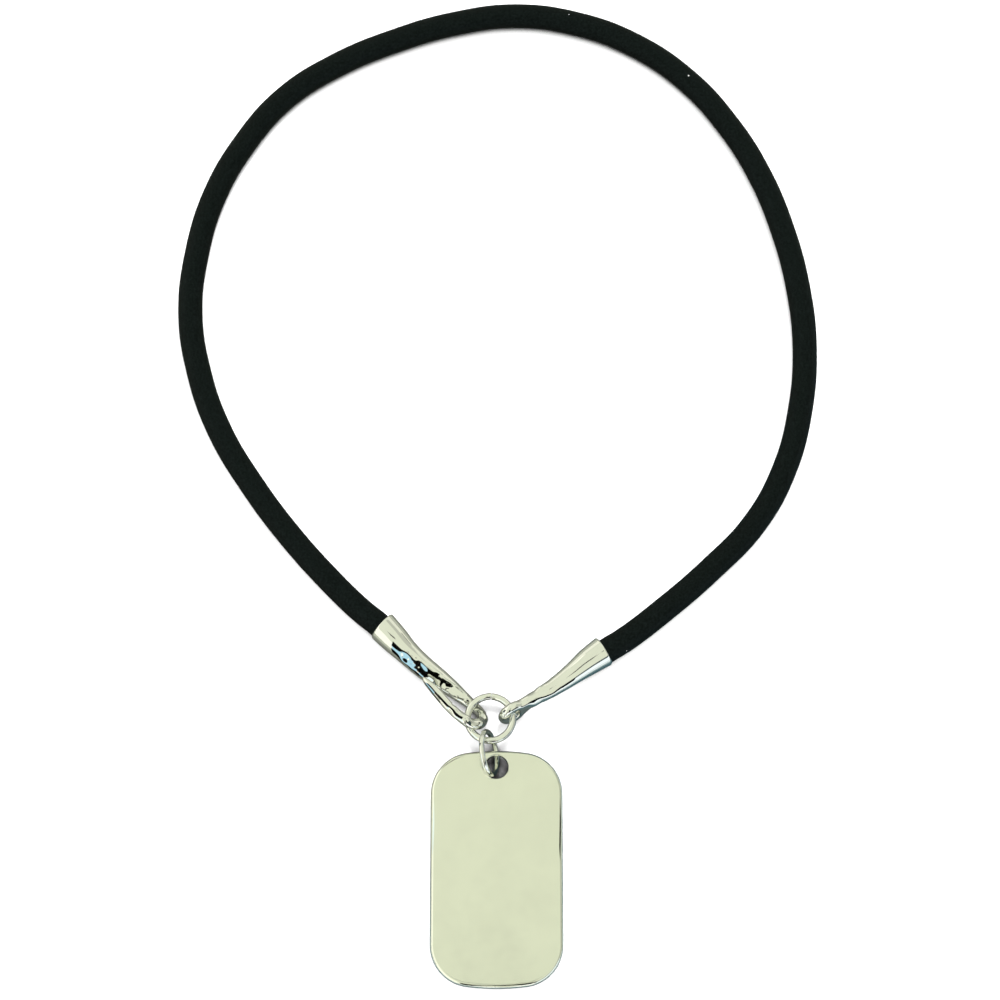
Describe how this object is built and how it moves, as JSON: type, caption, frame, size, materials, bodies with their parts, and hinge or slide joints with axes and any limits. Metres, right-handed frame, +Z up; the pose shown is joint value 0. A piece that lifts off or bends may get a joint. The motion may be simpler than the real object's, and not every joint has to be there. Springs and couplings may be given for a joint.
{
  "type": "identification dog tag necklace",
  "caption": "Blank steel identification dog tag on a black rubber cord necklace, joined by a jump ring and a clasp ring to a hook cap and an eye cap.",
  "frame": {"origin": "on the surface that the necklace lies on, under the middle of its metal pieces", "axes": "+X to the wearer's left along the clasp, +Y from the tag towards the cord's loop, +Z up from the surface"},
  "size_m": [0.1434, 0.2266, 0.0096],
  "materials": {
    "tag_steel": "fine satin faces with a polished rounded edge",
    "polished_steel": "mirror polish",
    "black_rubber": "smooth and matt with a soft sheen"
  },
  "bodies": {
    "root": {"tag": "tag_steel", "jump_ring": "polished_steel", "clasp_ring": "polished_steel", "hook_cap": "polished_steel", "eye_cap": "polished_steel", "rubber_cord": "black_rubber"}
  },
  "joints": []
}
